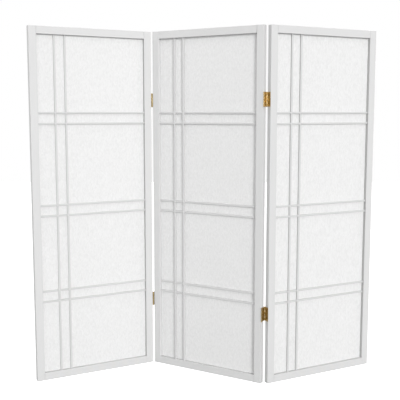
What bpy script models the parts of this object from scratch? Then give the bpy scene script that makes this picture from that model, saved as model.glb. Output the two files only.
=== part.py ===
"""Folding partition screen: three panels of painted wood, lattice and paper on two-way hinges.

Units are metres and degrees, +Z is up and the viewer stands on the -Y side. The origin is
the middle of the middle panel's underside. The panels are named left, middle and right as
the viewer sees them. Inside a panel, x runs from its left edge to its right edge, y runs
from its front face to its back face, and z runs up from the floor.
"""

from math import pi, radians

import bmesh
import bpy
from mathutils import Matrix, Vector

# Clearances
FIT_GAP = 0.0003
CUT_OVERRUN = 0.002
MERGE_DISTANCE = 0.00002

# Panel frame
PANEL_WIDTH = 0.4317
PANEL_HEIGHT = 1.194
FRAME_THICKNESS = 0.01905
STILE_WIDTH = 0.0258
RAIL_HEIGHT = 0.0254
EDGE_ROUND = 0.0010
EDGE_ROUND_STEPS = 3

# Mortise and tenon between rail and stile
TENON_LENGTH = 0.012
TENON_THICKNESS = 0.006
TENON_FRONT = 0.0035
TENON_SHOULDER = 0.005

# Groove that holds the paper, cut in the inner edges of the frame
GROOVE_FRONT = 0.012
GROOVE_DEPTH = 0.0055

# Paper
PAPER_THICKNESS = 0.0005
PAPER_LAP = 0.0045

# Lattice: the pair of uprights is placed from the panel's left edge, and the pairs of
# crossbars up from the floor, down from the panel's mid-height and down from its top
BAR_WIDTH = 0.006
BAR_DEPTH = 0.0065
BAR_TENON = 0.005
BAR_PAIR_SPACING = 0.036
UPRIGHT_PAIR_CENTRE = 0.1045
LOWER_CROSSBAR_HEIGHT = 0.290
MIDDLE_CROSSBAR_DROP = 0.0125
UPPER_CROSSBAR_DROP = 0.299

# Two-way hinges: the lower one is placed up from the floor and the upper one down from the top
LOWER_HINGE_HEIGHT = 0.2395
UPPER_HINGE_DROP = 0.2375
HINGE_HEIGHT = 0.0475
PANEL_GAP = 0.0044
PIN_STANDOFF = 0.0015
LEAF_THICKNESS = 0.0008
LEAF_SETBACK = 0.001
LINK_THICKNESS = 0.0008
BARREL_SIDES = 12
KNUCKLES = 5
KNUCKLE_GAP = 0.0004
PIN_RADIUS = 0.00095
PIN_HEAD_RADIUS = 0.0016
PIN_HEAD_THICKNESS = 0.0007

# Hinge screws
SCREW_OFFSET = 0.0136
SCREW_RADIUS = 0.0011
SCREW_HEAD_RADIUS = 0.0023
SCREW_LENGTH = 0.011
SCREW_SIDES = 8
ACCESS_HOLE_RADIUS = 0.0029
ACCESS_HOLE_SIDES = 10

# Angles from the viewer's left-right line, counter-clockwise from above
LEFT_PANEL_TURN = 27.702
MIDDLE_PANEL_TURN = -30.366
RIGHT_PANEL_TURN = 27.419

# Places that follow from the sizes above
HALF_GAP = PANEL_GAP / 2
INNER_WIDTH = PANEL_WIDTH - 2 * STILE_WIDTH
PIN_SPAN = FRAME_THICKNESS + 2 * PIN_STANDOFF
PAPER_FRONT = GROOVE_FRONT + FIT_GAP
PAPER_BACK = PAPER_FRONT + PAPER_THICKNESS
PAPER_MIDDLE = (PAPER_FRONT + PAPER_BACK) / 2
GROOVE_BACK = PAPER_BACK + FIT_GAP
BAR_BACK = PAPER_FRONT - FIT_GAP
BAR_FRONT = BAR_BACK - BAR_DEPTH
LAP_DEPTH = (BAR_FRONT + BAR_BACK) / 2
BAR_HALF = BAR_WIDTH / 2
BAR_CLEAR = BAR_HALF + FIT_GAP
UPRIGHT_START = RAIL_HEIGHT - BAR_TENON
CROSSBAR_START = STILE_WIDTH - BAR_TENON
RAIL_START = STILE_WIDTH + FIT_GAP
RAIL_LENGTH = INNER_WIDTH - 2 * FIT_GAP
BARREL_RADIUS = HALF_GAP - FIT_GAP
BARREL_SWEEP = BARREL_RADIUS + FIT_GAP
BORE_RADIUS = PIN_RADIUS + FIT_GAP
KNUCKLE_PITCH = (HINGE_HEIGHT + KNUCKLE_GAP) / KNUCKLES
KNUCKLE_HEIGHT = KNUCKLE_PITCH - KNUCKLE_GAP
SCREW_DEPTH = FRAME_THICKNESS / 2
SCREW_HEAD_DEPTH = LEAF_THICKNESS + FIT_GAP
PILOT_RADIUS = SCREW_RADIUS + FIT_GAP
PILOT_DEPTH = SCREW_LENGTH + FIT_GAP

# Colour, roughness and metallic value of each finish
FINISHES = {
    "frame_paint": ((0.86, 0.86, 0.85), 0.45, 0.0),
    "lattice_paint": ((0.88, 0.88, 0.87), 0.45, 0.0),
    "paper": ((0.93, 0.93, 0.91), 0.85, 0.0),
    "brass": ((0.69, 0.50, 0.22), 0.32, 1.0),
    "pin_brass": ((0.60, 0.43, 0.19), 0.35, 1.0),
}


def make_finish(name):
    """Make the named Principled material."""
    colour, roughness, metallic = FINISHES[name]
    material = bpy.data.materials.new(name)
    material.use_nodes = True
    shader = material.node_tree.nodes["Principled BSDF"]
    shader.inputs["Base Color"].default_value = (*colour, 1.0)
    shader.inputs["Roughness"].default_value = roughness
    shader.inputs["Metallic"].default_value = metallic
    return material


def make_empty(name, parent, place, turn):
    """Make an empty at a place under its parent, turned about the upright axis in degrees."""
    empty = bpy.data.objects.new(name, None)
    bpy.context.scene.collection.objects.link(empty)
    empty.parent = parent
    empty.location = place
    empty.rotation_euler = (0.0, 0.0, radians(turn))
    return empty


def make_part(name, shape, material, parent, place=(0.0, 0.0, 0.0), half_turn=False):
    """Make a named object from a finished shape, placed under its parent empty."""
    bmesh.ops.recalc_face_normals(shape, faces=shape.faces)
    mesh = bpy.data.meshes.new(name)
    shape.to_mesh(mesh)
    shape.free()
    mesh.materials.append(material)
    part = bpy.data.objects.new(name, mesh)
    bpy.context.scene.collection.objects.link(part)
    part.parent = parent
    part.location = place
    if half_turn:
        part.rotation_euler = (0.0, 0.0, pi)
    return part


def add_box(shape, low, high):
    """Add a box between two opposite corners."""
    low = Vector(low)
    high = Vector(high)
    corners = bmesh.ops.create_cube(shape, size=1.0)["verts"]
    bmesh.ops.scale(shape, vec=high - low, verts=corners)
    bmesh.ops.translate(shape, vec=(low + high) / 2, verts=corners)


def add_rod(shape, start, end, radius, sides, end_radius=None):
    """Add a round rod or cone between two points."""
    start = Vector(start)
    end = Vector(end)
    run = end - start
    placing = Matrix.Translation((start + end) / 2) @ run.to_track_quat("Z", "Y").to_matrix().to_4x4()
    far_radius = radius if end_radius is None else end_radius
    bmesh.ops.create_cone(
        shape, cap_ends=True, cap_tris=False, segments=sides, radius1=radius, radius2=far_radius,
        depth=run.length, matrix=placing)


def combine(shape, tool, operation):
    """Return the Boolean of two shapes as a new shape, and free both."""
    pair = []
    for label, piece in (("target", shape), ("tool", tool)):
        bmesh.ops.recalc_face_normals(piece, faces=piece.faces)
        mesh = bpy.data.meshes.new(label)
        piece.to_mesh(mesh)
        piece.free()
        holder = bpy.data.objects.new(label, mesh)
        bpy.context.scene.collection.objects.link(holder)
        pair.append(holder)
    target, other = pair
    modifier = target.modifiers.new("combine", "BOOLEAN")
    modifier.operation = operation
    modifier.solver = "EXACT"
    modifier.object = other
    result = bmesh.new()
    result.from_object(target, bpy.context.evaluated_depsgraph_get())
    for holder in pair:
        mesh = holder.data
        bpy.data.objects.remove(holder)
        bpy.data.meshes.remove(mesh)
    return result


def mirror(shape, axis):
    """Mirror a shape through its origin along one axis, 0 for x or 2 for z."""
    factors = [1.0, 1.0, 1.0]
    factors[axis] = -1.0
    bmesh.ops.scale(shape, vec=factors, verts=shape.verts)
    bmesh.ops.reverse_faces(shape, faces=shape.faces)
    return shape


def round_edges(shape, chosen):
    """Round the chosen edges of a shape."""
    bmesh.ops.bevel(
        shape, geom=chosen, offset=EDGE_ROUND, segments=EDGE_ROUND_STEPS, profile=0.5,
        affect="EDGES", clamp_overlap=True)


def edges_along(shape, axis):
    """List a box's edges that run along one axis, 0 for x, 1 for y or 2 for z."""
    found = []
    for edge in shape.edges:
        first, second = (vert.co for vert in edge.verts)
        if abs((second - first).normalized()[axis]) > 0.99:
            found.append(edge)
    return found


def bar_places(pair_centre):
    """List the two centre lines of a pair of lattice bars."""
    half = BAR_PAIR_SPACING / 2
    return (pair_centre - half, pair_centre + half)


def crossbar_heights():
    """List the centre heights of all six crossbars, from the floor up."""
    pairs = (
        LOWER_CROSSBAR_HEIGHT, PANEL_HEIGHT / 2 - MIDDLE_CROSSBAR_DROP,
        PANEL_HEIGHT - UPPER_CROSSBAR_DROP)
    return [height for pair in pairs for height in bar_places(pair)]


def hinge_heights():
    """List the centre heights of the two hinges on a fold line."""
    return (LOWER_HINGE_HEIGHT, PANEL_HEIGHT - UPPER_HINGE_DROP)


def screw_heights():
    """List the heights of the four screws that hold two leaves to one stile."""
    return [height + offset for height in hinge_heights() for offset in (-SCREW_OFFSET, SCREW_OFFSET)]


def stile_shape(hinged):
    """Make a left stile's shape: its outer face is at x = 0 and its inner face looks to +x."""
    stile = bmesh.new()
    add_box(stile, (0.0, 0.0, 0.0), (STILE_WIDTH, FRAME_THICKNESS, PANEL_HEIGHT))
    round_edges(stile, stile.edges[:])

    inside = STILE_WIDTH + CUT_OVERRUN
    groove = bmesh.new()
    groove_low = RAIL_HEIGHT - GROOVE_DEPTH
    add_box(
        groove, (STILE_WIDTH - GROOVE_DEPTH, GROOVE_FRONT, groove_low),
        (inside, GROOVE_BACK, PANEL_HEIGHT - groove_low))
    stile = combine(stile, groove, "DIFFERENCE")

    cuts = bmesh.new()
    for height in crossbar_heights():
        add_box(
            cuts, (CROSSBAR_START - FIT_GAP, BAR_FRONT - FIT_GAP, height - BAR_CLEAR),
            (inside, PAPER_MIDDLE, height + BAR_CLEAR))
    mortise_low = TENON_SHOULDER - FIT_GAP
    mortise_high = RAIL_HEIGHT - TENON_SHOULDER + FIT_GAP
    mortise_end = STILE_WIDTH - TENON_LENGTH - FIT_GAP
    mortise_front = TENON_FRONT - FIT_GAP
    mortise_back = TENON_FRONT + TENON_THICKNESS + FIT_GAP
    spans = ((mortise_low, mortise_high), (PANEL_HEIGHT - mortise_high, PANEL_HEIGHT - mortise_low))
    for low, high in spans:
        add_box(cuts, (mortise_end, mortise_front, low), (inside, mortise_back, high))
    if hinged:
        for height in screw_heights():
            add_rod(
                cuts, (PILOT_DEPTH, SCREW_DEPTH, height), (-CUT_OVERRUN, SCREW_DEPTH, height),
                PILOT_RADIUS, SCREW_SIDES)
    return combine(stile, cuts, "DIFFERENCE")


def rail_shape():
    """Make a bottom rail's shape: its left end is at x = 0 and its inner edge looks up."""
    rail = bmesh.new()
    add_box(rail, (0.0, 0.0, 0.0), (RAIL_LENGTH, FRAME_THICKNESS, RAIL_HEIGHT))
    round_edges(rail, edges_along(rail, 0))

    tenons = bmesh.new()
    reach = TENON_LENGTH - FIT_GAP
    add_box(
        tenons, (-reach, TENON_FRONT, TENON_SHOULDER),
        (RAIL_LENGTH + reach, TENON_FRONT + TENON_THICKNESS, RAIL_HEIGHT - TENON_SHOULDER))
    rail = combine(rail, tenons, "UNION")

    inside = RAIL_HEIGHT + CUT_OVERRUN
    groove = bmesh.new()
    add_box(
        groove, (-CUT_OVERRUN, GROOVE_FRONT, RAIL_HEIGHT - GROOVE_DEPTH),
        (RAIL_LENGTH + CUT_OVERRUN, GROOVE_BACK, inside))
    rail = combine(rail, groove, "DIFFERENCE")

    cuts = bmesh.new()
    for centre in bar_places(UPRIGHT_PAIR_CENTRE):
        place = centre - RAIL_START
        add_box(
            cuts, (place - BAR_CLEAR, BAR_FRONT - FIT_GAP, UPRIGHT_START - FIT_GAP),
            (place + BAR_CLEAR, PAPER_MIDDLE, inside))
    return combine(rail, cuts, "DIFFERENCE")


def upright_shape():
    """Make a lattice upright, standing at z = 0 and notched behind for the crossbars."""
    length = PANEL_HEIGHT - 2 * UPRIGHT_START
    bar = bmesh.new()
    add_box(bar, (-BAR_HALF, BAR_FRONT, 0.0), (BAR_HALF, BAR_BACK, length))
    notches = bmesh.new()
    side = BAR_HALF + CUT_OVERRUN
    for height in crossbar_heights():
        place = height - UPRIGHT_START
        add_box(
            notches, (-side, LAP_DEPTH - FIT_GAP / 2, place - BAR_CLEAR),
            (side, BAR_BACK + CUT_OVERRUN, place + BAR_CLEAR))
    return combine(bar, notches, "DIFFERENCE")


def crossbar_shape():
    """Make a lattice crossbar, starting at x = 0 and notched in front for the uprights."""
    length = PANEL_WIDTH - 2 * CROSSBAR_START
    bar = bmesh.new()
    add_box(bar, (0.0, BAR_FRONT, -BAR_HALF), (length, BAR_BACK, BAR_HALF))
    notches = bmesh.new()
    side = BAR_HALF + CUT_OVERRUN
    for centre in bar_places(UPRIGHT_PAIR_CENTRE):
        place = centre - CROSSBAR_START
        add_box(
            notches, (place - BAR_CLEAR, BAR_FRONT - CUT_OVERRUN, -side),
            (place + BAR_CLEAR, LAP_DEPTH + FIT_GAP / 2, side))
    return combine(bar, notches, "DIFFERENCE")


def paper_shape():
    """Make the paper sheet, which laps into the groove all round."""
    sheet = bmesh.new()
    side = STILE_WIDTH - PAPER_LAP
    foot = RAIL_HEIGHT - PAPER_LAP
    add_box(sheet, (side, PAPER_FRONT, foot), (PANEL_WIDTH - side, PAPER_BACK, PANEL_HEIGHT - foot))
    return sheet


def knuckle_span(index):
    """Give the lower and upper ends of one knuckle about the hinge's middle."""
    low = index * KNUCKLE_PITCH - HINGE_HEIGHT / 2
    return low, low + KNUCKLE_HEIGHT


def add_barrels(plate, indices, pin_places):
    """Join knuckles to a hinge plate, and bore them for the pins."""
    barrels = bmesh.new()
    bores = bmesh.new()
    reach = HINGE_HEIGHT / 2 + CUT_OVERRUN
    for y in pin_places:
        for index in indices:
            low, high = knuckle_span(index)
            add_rod(barrels, (0.0, y, low), (0.0, y, high), BARREL_RADIUS, BARREL_SIDES)
        add_rod(bores, (0.0, y, -reach), (0.0, y, reach), BORE_RADIUS, BARREL_SIDES)
    return combine(combine(plate, barrels, "UNION"), bores, "DIFFERENCE")


def cut_clear(plate, indices, pin_places):
    """Cut a hinge plate clear of the mating plate's knuckles."""
    cuts = bmesh.new()
    for y in pin_places:
        for index in indices:
            low, high = knuckle_span(index)
            add_box(
                cuts, (-HALF_GAP, y - BARREL_SWEEP, low - KNUCKLE_GAP),
                (HALF_GAP, y + BARREL_SWEEP, high + KNUCKLE_GAP))
    return combine(plate, cuts, "DIFFERENCE")


def leaf_shape():
    """Make a hinge leaf: its pin is on the z axis and its screwed face looks to -x."""
    leaf = bmesh.new()
    wood_side = -HALF_GAP + FIT_GAP
    length = FRAME_THICKNESS + PIN_STANDOFF - LEAF_SETBACK
    half = HINGE_HEIGHT / 2
    add_box(leaf, (wood_side, 0.0, -half), (wood_side + LEAF_THICKNESS, length, half))
    leaf = cut_clear(leaf, range(1, KNUCKLES, 2), (0.0,))
    leaf = add_barrels(leaf, range(0, KNUCKLES, 2), (0.0,))
    holes = bmesh.new()
    small = SCREW_RADIUS + FIT_GAP
    spread_per_length = (SCREW_HEAD_RADIUS - SCREW_RADIUS) / SCREW_HEAD_DEPTH
    depth = SCREW_HEAD_DEPTH + LEAF_THICKNESS
    for height in (-SCREW_OFFSET, SCREW_OFFSET):
        y = SCREW_DEPTH + PIN_STANDOFF
        add_rod(
            holes, (-HALF_GAP, y, height), (depth - HALF_GAP, y, height), small, SCREW_SIDES,
            small + spread_per_length * depth)
    return combine(leaf, holes, "DIFFERENCE")


def link_shape():
    """Make a hinge's link plate: one pin is on the z axis and the other towards -y."""
    link = bmesh.new()
    half = HINGE_HEIGHT / 2
    side = LINK_THICKNESS / 2
    pin_places = (0.0, -PIN_SPAN)
    add_box(link, (-side, -PIN_SPAN, -half), (side, 0.0, half))
    link = cut_clear(link, range(0, KNUCKLES, 2), pin_places)
    link = add_barrels(link, range(1, KNUCKLES, 2), pin_places)
    holes = bmesh.new()
    for height in (-SCREW_OFFSET, SCREW_OFFSET):
        middle = -PIN_SPAN / 2
        add_rod(
            holes, (-HALF_GAP, middle, height), (HALF_GAP, middle, height),
            ACCESS_HOLE_RADIUS, ACCESS_HOLE_SIDES)
    return combine(link, holes, "DIFFERENCE")


def pin_shape():
    """Make a hinge pin with a head at each end, standing about z = 0."""
    seat = HINGE_HEIGHT / 2 + FIT_GAP
    end = seat + PIN_HEAD_THICKNESS
    profile = (
        (0.0, -end), (PIN_HEAD_RADIUS, -end), (PIN_HEAD_RADIUS, -seat), (PIN_RADIUS, -seat),
        (PIN_RADIUS, seat), (PIN_HEAD_RADIUS, seat), (PIN_HEAD_RADIUS, end), (0.0, end))
    pin = bmesh.new()
    corners = [pin.verts.new((radius, 0.0, height)) for radius, height in profile]
    edges = [pin.edges.new(pair) for pair in zip(corners, corners[1:])]
    bmesh.ops.spin(
        pin, geom=corners + edges, cent=(0.0, 0.0, 0.0), axis=(0.0, 0.0, 1.0), angle=2 * pi,
        steps=BARREL_SIDES, use_merge=True)
    bmesh.ops.remove_doubles(pin, verts=pin.verts, dist=MERGE_DISTANCE)
    return pin


def build_panel(name, parent, corner, hinged_sides, finishes):
    """Build one panel whose front left foot is at corner, in its parent empty's space."""
    corner = Vector(corner)
    right = Vector((PANEL_WIDTH, 0.0, 0.0))
    top = Vector((0.0, 0.0, PANEL_HEIGHT))
    rail_start = Vector((RAIL_START, 0.0, 0.0))

    frame = finishes["frame_paint"]
    left_stile = stile_shape("left" in hinged_sides)
    right_stile = mirror(stile_shape("right" in hinged_sides), 0)
    make_part(f"{name}_left_stile", left_stile, frame, parent, corner)
    make_part(f"{name}_right_stile", right_stile, frame, parent, corner + right)
    make_part(f"{name}_bottom_rail", rail_shape(), frame, parent, corner + rail_start)
    make_part(f"{name}_top_rail", mirror(rail_shape(), 2), frame, parent, corner + rail_start + top)

    lattice = finishes["lattice_paint"]
    for side, centre in zip(("left", "right"), bar_places(UPRIGHT_PAIR_CENTRE)):
        foot = corner + Vector((centre, 0.0, UPRIGHT_START))
        make_part(f"{name}_{side}_upright", upright_shape(), lattice, parent, foot)
    for number, height in enumerate(crossbar_heights(), 1):
        start = corner + Vector((CROSSBAR_START, 0.0, height))
        make_part(f"{name}_crossbar_{number}", crossbar_shape(), lattice, parent, start)
    make_part(f"{name}_paper", paper_shape(), finishes["paper"], parent, corner)


def build_fold_line(side, finishes, front_leaf, link, back_leaf):
    """Build both hinges of a fold line. Each of the last three is a parent, a place and a half turn."""
    parent, place, half_turn = link
    far_pin = Vector((0.0, PIN_SPAN if half_turn else -PIN_SPAN, 0.0))
    near, far = ("front", "back") if half_turn else ("back", "front")
    for level, height in zip(("lower", "upper"), hinge_heights()):
        rise = Vector((0.0, 0.0, height))
        name = f"{level}_{side}_hinge"
        make_part(f"{name}_front_leaf", leaf_shape(), finishes["brass"], front_leaf[0],
                  Vector(front_leaf[1]) + rise, front_leaf[2])
        make_part(f"{name}_back_leaf", leaf_shape(), finishes["brass"], back_leaf[0],
                  Vector(back_leaf[1]) + rise, back_leaf[2])
        make_part(f"{name}_link", link_shape(), finishes["brass"], parent, Vector(place) + rise, half_turn)
        make_part(f"{name}_{near}_pin", pin_shape(), finishes["pin_brass"], parent, Vector(place) + rise)
        make_part(
            f"{name}_{far}_pin", pin_shape(), finishes["pin_brass"], parent, Vector(place) + far_pin + rise)


def build_screen():
    """Build the whole screen, folded in a zigzag as it stands."""
    finishes = {name: make_finish(name) for name in FINISHES}
    middle_offset = Vector((-PANEL_WIDTH / 2, -FRAME_THICKNESS / 2, 0.0))
    middle_place = Matrix.Rotation(radians(MIDDLE_PANEL_TURN), 3, "Z") @ middle_offset
    middle = make_empty("middle_panel_corner", None, middle_place, MIDDLE_PANEL_TURN)

    front = -PIN_STANDOFF
    back = FRAME_THICKNESS + PIN_STANDOFF
    left_fold = LEFT_PANEL_TURN - MIDDLE_PANEL_TURN
    right_fold = RIGHT_PANEL_TURN - MIDDLE_PANEL_TURN
    left_back_pin = (-HALF_GAP, back, 0.0)
    right_front_pin = (PANEL_WIDTH + HALF_GAP, front, 0.0)
    left_links = make_empty("left_back_pin_line", middle, left_back_pin, 0.0)
    left = make_empty("left_front_pin_line", left_links, (0.0, -PIN_SPAN, 0.0), left_fold)
    right_links = make_empty("right_front_pin_line", middle, right_front_pin, 0.0)
    right = make_empty("right_back_pin_line", right_links, (0.0, PIN_SPAN, 0.0), right_fold)

    origin = (0.0, 0.0, 0.0)
    build_panel("middle_panel", middle, origin, ("left", "right"), finishes)
    build_panel("left_panel", left, (-PANEL_WIDTH - HALF_GAP, -front, 0.0), ("right",), finishes)
    build_panel("right_panel", right, (HALF_GAP, -back, 0.0), ("left",), finishes)
    build_fold_line(
        "left", finishes, (left, origin, False), (left_links, origin, False), (middle, left_back_pin, True))
    build_fold_line(
        "right", finishes, (middle, right_front_pin, False), (right_links, origin, True),
        (right, origin, True))


def clear_scene():
    """Remove the objects that the file opens with."""
    for item in list(bpy.data.objects):
        bpy.data.objects.remove(item)


if __name__ == "__main__":
    clear_scene()
    build_screen()
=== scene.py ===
"""Looks of the folding partition screen: painted frames, lattice, paper and two-way hinges.

Units are metres and +Z is up. Inside a panel, x runs from its left edge to its right edge,
y runs from its front face to its back face, and z runs up from the floor. The panels are
named left, middle and right as the viewer sees them.
"""

import logging
from collections.abc import Callable
from dataclasses import dataclass, field
from enum import Enum
from math import cos, pi, radians, sin

import bmesh
import bpy
from mathutils import Matrix, Vector


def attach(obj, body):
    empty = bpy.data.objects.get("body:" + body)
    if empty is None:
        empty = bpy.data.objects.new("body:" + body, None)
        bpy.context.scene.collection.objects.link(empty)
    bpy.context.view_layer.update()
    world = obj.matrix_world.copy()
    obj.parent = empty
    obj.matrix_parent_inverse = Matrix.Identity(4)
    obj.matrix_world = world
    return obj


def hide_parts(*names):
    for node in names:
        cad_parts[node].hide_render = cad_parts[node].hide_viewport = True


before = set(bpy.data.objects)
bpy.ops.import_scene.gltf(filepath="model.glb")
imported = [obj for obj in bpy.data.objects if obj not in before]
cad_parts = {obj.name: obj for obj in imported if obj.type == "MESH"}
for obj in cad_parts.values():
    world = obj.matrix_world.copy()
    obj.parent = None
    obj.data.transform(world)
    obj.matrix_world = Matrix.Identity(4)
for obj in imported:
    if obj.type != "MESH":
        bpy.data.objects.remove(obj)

LOG = logging.getLogger("partition_screen")
TOUCH_DISTANCE = 0.00002
CUT_OVERRUN = 0.002
SHARP_ANGLE = radians(32.0)
ALONG_AXIS = 0.99
ROUND_PROFILE = 0.5
EASED_SHARE = 0.96
SHIFT_STEP = 0.6180339887
SHIFT_SPAN = 3.0
UPRIGHT_GRAIN = Matrix(((0.0, 0.0, -1.0, 0.0), (0.0, 1.0, 0.0, 0.0), (1.0, 0.0, 0.0, 0.0),
                        (0.0, 0.0, 0.0, 1.0)))

Point = tuple[float, float, float]
Colour = tuple[float, float, float]


class Slot(Enum):
    """The record's material slots."""

    FRAME_PAINT = "frame_paint"
    LATTICE_PAINT = "lattice_paint"
    PAPER = "paper"
    BRASS = "brass"
    PIN_BRASS = "pin_brass"


class Level(Enum):
    """The two hinges of a fold line."""

    LOWER = "lower"
    UPPER = "upper"


class FoldSide(Enum):
    """The two fold lines, as the viewer sees them."""

    LEFT = "left"
    RIGHT = "right"


class Face(Enum):
    """The two faces of a panel, and the pin line that stands before each."""

    FRONT = "front"
    BACK = "back"


class Effect(Enum):
    """The shader node groups that the finishes share."""

    WOOD_GRAIN = "wood_grain"
    PAINT_FILM = "paint_film"
    PAPER_FIBRES = "paper_fibres"
    DRAWN_METAL = "drawn_metal"


def add_object(name: str, data: bpy.types.ID) -> bpy.types.Object:
    """Add an object to the scene.

    Args:
        name: the object's name.
        data: its mesh, light or camera.

    Returns:
        The object.
    """
    added = bpy.data.objects.new(name, data)
    bpy.context.scene.collection.objects.link(added)
    return added


class Shape:
    """A closed solid being made, kept as a bmesh in metres."""

    def __init__(self) -> None:
        """Start with nothing."""
        self.mesh = bmesh.new()

    def add_box(self, low: Point, high: Point) -> "Shape":
        """Add a box.

        Args:
            low: the corner with the least x, y and z.
            high: the opposite corner.

        Returns:
            This shape.
        """
        first, second = Vector(low), Vector(high)
        corners = bmesh.ops.create_cube(self.mesh, size=1.0)["verts"]
        bmesh.ops.scale(self.mesh, vec=second - first, verts=corners)
        bmesh.ops.translate(self.mesh, vec=(first + second) / 2, verts=corners)
        return self

    def add_rod(self, start: Point, end: Point, radius: float, sides: int,
                end_radius: float | None = None) -> "Shape":
        """Add a round rod, or a cone where the two radii differ.

        Args:
            start: the middle of the first end.
            end: the middle of the second end.
            radius: the radius at the first end.
            sides: the number of flats round it.
            end_radius: the radius at the second end, if it differs.

        Returns:
            This shape.
        """
        first, second = Vector(start), Vector(end)
        run = second - first
        turn = run.to_track_quat("Z", "Y").to_matrix().to_4x4()
        bmesh.ops.create_cone(
            self.mesh, cap_ends=True, cap_tris=False, segments=sides, radius1=radius,
            radius2=radius if end_radius is None else end_radius, depth=run.length,
            matrix=Matrix.Translation((first + second) / 2) @ turn)
        return self

    def add_turned(self, profile: list[tuple[float, float]], steps: int) -> "Shape":
        """Add a solid turned about the z axis.

        Args:
            profile: radius and height pairs, starting and ending on the axis.
            steps: the number of flats round it.

        Returns:
            This shape.
        """
        turns = [2 * pi * step / steps for step in range(steps)]
        rings = [[self.mesh.verts.new((radius * cos(turn), radius * sin(turn), height))
                  for turn in (turns if radius else turns[:1])] for radius, height in profile]
        for low, high in zip(rings, rings[1:]):
            for step in range(steps):
                after = (step + 1) % steps
                corners = [ring[place % len(ring)] for ring, place in (
                    (low, step), (low, after), (high, after), (high, step))]
                self.mesh.faces.new(dict.fromkeys(corners))
        return self

    def ease(self, radius: float, steps: int, axes: tuple[int, ...] = (0, 1, 2)) -> "Shape":
        """Round the edges that run along some of the axes.

        Args:
            radius: how far the rounding reaches from each edge.
            steps: the number of flats across the rounding.
            axes: the axes, 0 for x, 1 for y and 2 for z.

        Returns:
            This shape.
        """
        chosen = []
        for edge in self.mesh.edges:
            run = (edge.verts[1].co - edge.verts[0].co).normalized()
            if any(abs(run[axis]) > ALONG_AXIS for axis in axes):
                chosen.append(edge)
        bmesh.ops.bevel(
            self.mesh, geom=chosen, offset=radius, segments=steps, profile=ROUND_PROFILE,
            affect="EDGES", clamp_overlap=True)
        return self

    def mirror(self, axis: int) -> "Shape":
        """Mirror the shape through its origin.

        Args:
            axis: the axis along which it is mirrored, 0 for x, 1 for y and 2 for z.

        Returns:
            This shape.
        """
        factors = [1.0, 1.0, 1.0]
        factors[axis] = -1.0
        bmesh.ops.scale(self.mesh, vec=factors, verts=self.mesh.verts)
        bmesh.ops.reverse_faces(self.mesh, faces=self.mesh.faces)
        return self

    def cut(self, tool: "Shape") -> "Shape":
        """Take another shape away from this one, and return this one."""
        return self._combine(tool, "DIFFERENCE")

    def join(self, tool: "Shape") -> "Shape":
        """Fuse another shape to this one, and return this one."""
        return self._combine(tool, "UNION")

    def to_mesh(self, name: str) -> bpy.types.Mesh:
        """Turn the shape into a mesh whose faces look outwards. The shape is used up.

        Args:
            name: the mesh's name.

        Returns:
            The mesh.
        """
        bmesh.ops.recalc_face_normals(self.mesh, faces=self.mesh.faces)
        mesh = bpy.data.meshes.new(name)
        self.mesh.to_mesh(mesh)
        self.mesh.free()
        return mesh

    def _combine(self, tool: "Shape", operation: str) -> "Shape":
        """Combine with another shape by a Boolean, and free the other.

        Args:
            tool: the other shape.
            operation: the Boolean modifier's operation.

        Returns:
            This shape.
        """
        holders = [add_object("blank", shape.to_mesh("blank")) for shape in (self, tool)]
        modifier = holders[0].modifiers.new("combine", "BOOLEAN")
        modifier.operation = operation
        modifier.solver = "EXACT"
        modifier.object = holders[1]
        self.mesh = bmesh.new()
        self.mesh.from_object(holders[0], bpy.context.evaluated_depsgraph_get())
        for holder in holders:
            mesh = holder.data
            bpy.data.objects.remove(holder)
            bpy.data.meshes.remove(mesh)
        return self


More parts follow.
